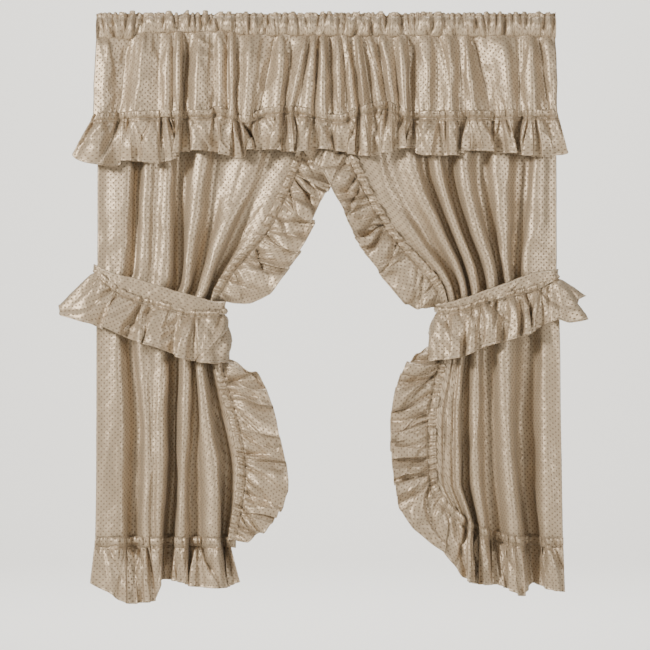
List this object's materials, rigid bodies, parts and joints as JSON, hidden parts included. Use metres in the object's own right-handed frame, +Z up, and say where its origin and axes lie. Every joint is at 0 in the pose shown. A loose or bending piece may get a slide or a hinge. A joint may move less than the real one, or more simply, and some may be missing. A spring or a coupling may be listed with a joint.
{
  "type": "ruffled tie-back curtain pair with attached valance",
  "caption": "Gathered rod-pocket heading with a ruffled valance over two ruffle-edged panels, each looped back by a ruffled tie.",
  "frame": {"origin": "middle of the heading's top edge, over the rod", "axes": "+Z up along the hanging drop, -Y out of the front towards the room, +X to the right seen from the room"},
  "size_m": [1.0222, 0.0951, 1.1514],
  "materials": {
    "curtain_cloth": "taupe satin-ground dobby with small matte dots in a diamond repeat 10.7 mm wide, so that neighbours lie about 8 mm apart"
  },
  "bodies": {
    "root": {"heading": "curtain_cloth", "valance": "curtain_cloth", "valance_ruffle": "curtain_cloth", "panel_left": "curtain_cloth", "panel_right": "curtain_cloth", "side_ruffle_left": "curtain_cloth", "side_ruffle_right": "curtain_cloth", "hem_ruffle_left": "curtain_cloth", "hem_ruffle_right": "curtain_cloth", "tie_band_left": "curtain_cloth", "tie_band_right": "curtain_cloth", "tie_ruffle_left": "curtain_cloth", "tie_ruffle_right": "curtain_cloth"}
  },
  "joints": []
}
